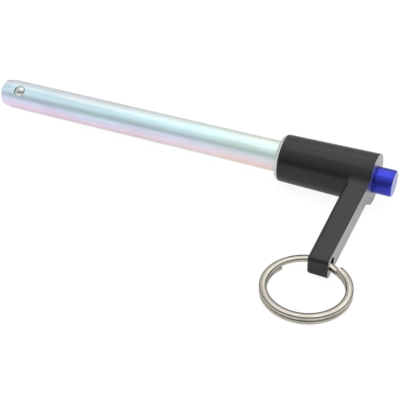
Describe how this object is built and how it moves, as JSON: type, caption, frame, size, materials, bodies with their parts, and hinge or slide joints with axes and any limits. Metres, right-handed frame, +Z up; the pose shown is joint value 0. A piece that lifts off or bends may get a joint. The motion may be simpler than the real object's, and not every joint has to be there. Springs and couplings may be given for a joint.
{
  "type": "ball lock pin",
  "caption": "L-handle quick-release pin: a push button draws a grooved spindle so that side balls near the tip retract, with a split ring on the handle's arm for a lanyard.",
  "frame": {"origin": "under the middle of the whole object, on the surface that it lies on", "axes": "+X along the pin from its tip towards its button (the tip points to -X), -Y along the handle's arm, +Z up"},
  "size_m": [0.1382, 0.0694, 0.0156],
  "materials": {
    "plated_steel": "clear passivated zinc plate, faintly iridescent",
    "black_casting": "satin black, bare machined back and front rim",
    "bare_steel": "turned",
    "blue_anodised": "blue anodised, turned",
    "spring_wire": "drawn wire",
    "ball_steel": "polished",
    "ring_steel": "bright rolled wire"
  },
  "bodies": {
    "frame": {"shank": "plated_steel", "handle": "black_casting", "return_spring": "spring_wire"},
    "plunger": {"button": "blue_anodised", "spindle": "bare_steel"},
    "ball_1": {"lock_ball_1": "ball_steel"},
    "ball_2": {"lock_ball_2": "ball_steel"},
    "ring": {"split_ring": "ring_steel"}
  },
  "joints": [
    {"name": "button_press", "type": "slide", "parent": "frame", "child": "plunger", "axis": [-0.9997, 0, -0.0248], "range_m": [0, 0.0035], "stiffness_N_per_m": 900, "springref_m": -0.003, "deforming": ["return_spring"]},
    {"name": "ball_1_slide", "type": "slide", "parent": "frame", "child": "ball_1", "axis": [0.018, 0.6883, -0.7252], "range_m": [0, 0.00094]},
    {"name": "ball_2_slide", "type": "slide", "parent": "frame", "child": "ball_2", "axis": [-0.018, -0.6883, 0.7252], "range_m": [0, 0.00094]},
    {"name": "ring_swing", "type": "hinge", "parent": "frame", "child": "ring", "pos_m": [0.05726, -0.01179, 0.00343], "axis": [-0.9997, 0, -0.0248], "range_deg": [-160, 160]}
  ],
  "couplings": [
    {"joint": "ball_1_slide", "follows": "button_press", "ratio": 0.26643},
    {"joint": "ball_2_slide", "follows": "button_press", "ratio": 0.26643}
  ]
}
